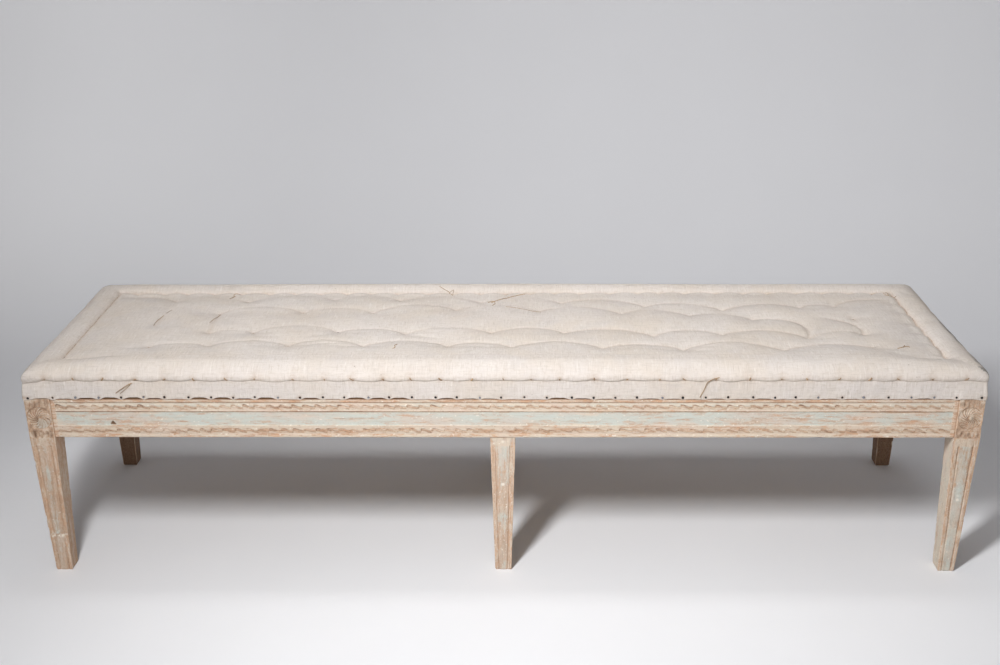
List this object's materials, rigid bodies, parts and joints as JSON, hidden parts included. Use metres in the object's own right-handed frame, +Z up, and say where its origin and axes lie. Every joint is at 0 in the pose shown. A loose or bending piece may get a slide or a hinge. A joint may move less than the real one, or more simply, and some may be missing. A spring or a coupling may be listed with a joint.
{
  "type": "long stool",
  "caption": "Long low stool: painted, carved and pegged wooden frame on square tapered legs, with a tufted linen seat that has a stitched edge roll.",
  "frame": {"origin": "centre of the footprint, on the floor", "axes": "+X along the stool's length, -Y towards its front, +Z up"},
  "size_m": [1.908, 0.529, 0.465],
  "materials": {
    "painted_pine": "matte",
    "bare_pine": "matte",
    "oak_pegs": "matte",
    "hemp_webbing": "matte",
    "jute_hessian": "matte",
    "horsehair": "matte",
    "linen": "matte",
    "iron_tacks": "matte"
  },
  "bodies": {
    "root": {"base_hessian": "jute_hessian", "centre_cross_rail": "bare_pine", "corner_block_front_left": "bare_pine", "corner_block_front_right": "bare_pine", "corner_block_rear_left": "bare_pine", "corner_block_rear_right": "bare_pine", "corner_joint_pegs": "oak_pegs", "front_rail": "painted_pine", "horsehair_stuffing": "horsehair", "left_end_rail": "painted_pine", "leg_front_left": "painted_pine", "leg_front_middle": "painted_pine", "leg_front_right": "painted_pine", "leg_rear_left": "painted_pine", "leg_rear_middle": "painted_pine", "leg_rear_right": "painted_pine", "linen_border_front": "linen", "linen_border_left": "linen", "linen_border_rear": "linen", "linen_border_right": "linen", "linen_cover": "linen", "middle_leg_pegs": "oak_pegs", "rear_rail": "painted_pine", "right_end_rail": "painted_pine", "tacks_front": "iron_tacks", "tacks_left": "iron_tacks", "tacks_rear": "iron_tacks", "tacks_right": "iron_tacks", "webbing_crosswise": "hemp_webbing", "webbing_lengthwise": "hemp_webbing", "webbing_tacks": "iron_tacks"}
  },
  "joints": []
}
